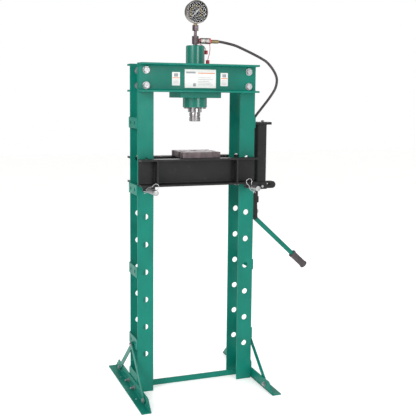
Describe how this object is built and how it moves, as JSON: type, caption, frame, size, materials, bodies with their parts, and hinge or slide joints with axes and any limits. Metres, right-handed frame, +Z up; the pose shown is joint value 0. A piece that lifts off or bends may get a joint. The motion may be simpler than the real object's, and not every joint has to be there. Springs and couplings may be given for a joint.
{
  "type": "hydraulic shop press",
  "caption": "H-frame hydraulic shop press with hand pump, hose-fed ram, pressure gauge, pinned height-adjustable bed and loose arbor plates.",
  "frame": {"origin": "on the floor, centred between the uprights, at the middle of the crossbar's underside", "axes": "+Z up, +X to the operator's right, towards the pump, +Y to the rear"},
  "size_m": [0.9657, 0.632, 1.84],
  "materials": {
    "green_paint": "gloss enamel",
    "black_paint": "semi-gloss enamel",
    "chrome_ram": "polished",
    "machined_steel": "turned",
    "zinc_steel": "zinc plated",
    "plate_steel": "ground, oiled",
    "dark_fitting": "blackened",
    "brass_fitting": "satin",
    "bezel_steel": "satin",
    "dial_black": "printed",
    "needle_white": "painted",
    "lens_glass": "clear",
    "hose_rubber": "matt",
    "cap_plastic": "moulded",
    "grip_rubber": "ribbed",
    "spring_steel": "oiled"
  },
  "bodies": {
    "frame": {"upright_left_front": "green_paint", "brace_left_front": "green_paint", "upright_left_rear": "green_paint", "brace_left_rear": "green_paint", "strap_left_1": "green_paint", "strap_left_2": "green_paint", "strap_left_3": "green_paint", "strap_left_4": "green_paint", "foot_left": "green_paint", "head_bolt_left_lower": "zinc_steel", "head_bolt_left_upper": "zinc_steel", "upright_right_front": "green_paint", "brace_right_front": "green_paint", "upright_right_rear": "green_paint", "brace_right_rear": "green_paint", "strap_right_1": "green_paint", "strap_right_2": "green_paint", "strap_right_3": "green_paint", "strap_right_4": "green_paint", "foot_right": "green_paint", "head_bolt_right_lower": "zinc_steel", "head_bolt_right_upper": "zinc_steel", "base_crossbar": "green_paint", "head_channel_front": "green_paint", "head_channel_rear": "green_paint", "bolster_plate": "green_paint", "cylinder_barrel": "green_paint", "cylinder_gland": "green_paint", "port_block": "dark_fitting", "gauge_stem": "brass_fitting", "gauge_case": "bezel_steel", "gauge_dial": "dial_black", "gauge_lens": "lens_glass", "hose_coupler": "dark_fitting", "hose_ferrule": "brass_fitting", "hose": "hose_rubber", "dust_cap_front": "cap_plastic", "dust_cap_rear": "cap_plastic", "pump_tank": "black_paint", "pump_top_plate": "black_paint", "filler_cap": "dark_fitting", "pump_base": "black_paint", "return_spring": "spring_steel"},
    "ram": {"ram": "chrome_ram", "ram_nose": "machined_steel"},
    "bed": {"bed_channel_front": "black_paint", "bed_channel_rear": "black_paint", "bed_tie_left": "black_paint", "bed_tie_right": "black_paint"},
    "pin_left": {"bed_pin_left": "zinc_steel", "pin_clip_left": "zinc_steel"},
    "pin_right": {"bed_pin_right": "zinc_steel", "pin_clip_right": "zinc_steel"},
    "plate_left": {"arbor_plate_left": "plate_steel"},
    "plate_right": {"arbor_plate_right": "plate_steel"},
    "handle": {"pump_handle": "green_paint", "handle_grip": "grip_rubber"},
    "plunger": {"pump_plunger": "machined_steel"},
    "valve": {"release_knob": "zinc_steel"},
    "needle": {"gauge_needle": "needle_white"}
  },
  "joints": [
    {"name": "ram_slide", "type": "slide", "parent": "frame", "child": "ram", "axis": [0, 0, -1], "range_m": [0, 0.14], "stiffness_N_per_m": 1200, "springref_m": -0.1, "deforming": ["return_spring"]},
    {"name": "bed_lift", "type": "slide", "parent": "frame", "child": "bed", "axis": [0, 0, 1], "range_m": [0, 0.131]},
    {"name": "pin_left_slide", "type": "slide", "parent": "frame", "child": "pin_left", "axis": [0, -1, 0], "range_m": [0, 0.3]},
    {"name": "pin_right_slide", "type": "slide", "parent": "frame", "child": "pin_right", "axis": [0, -1, 0], "range_m": [0, 0.3]},
    {"name": "plate_left_slide", "type": "slide", "parent": "bed", "child": "plate_left", "axis": [-1, 0, 0], "range_m": [0, 0.08]},
    {"name": "plate_right_slide", "type": "slide", "parent": "bed", "child": "plate_right", "axis": [1, 0, 0], "range_m": [0, 0.08]},
    {"name": "handle_swing", "type": "hinge", "parent": "frame", "child": "handle", "pos_m": [0.322, 0, 0.806], "axis": [0, -1, 0], "range_deg": [0, 55]},
    {"name": "plunger_slide", "type": "slide", "parent": "frame", "child": "plunger", "axis": [0, 0, 1], "range_m": [0, 0.013]},
    {"name": "valve_turn", "type": "hinge", "parent": "frame", "child": "valve", "pos_m": [0.343, -0.05, 0.961], "axis": [0, -1, 0], "range_deg": [0, 270]},
    {"name": "needle_turn", "type": "hinge", "parent": "frame", "child": "needle", "pos_m": [0.009, -0.012, 1.786], "axis": [0, 1, 0], "range_deg": [0, 270], "stiffness_Nm_per_rad": 0.002, "springref_deg": -17.19}
  ],
  "couplings": [
    {"joint": "plunger_slide", "follows": "handle_swing", "m_per_rad": 0.0125}
  ]
}
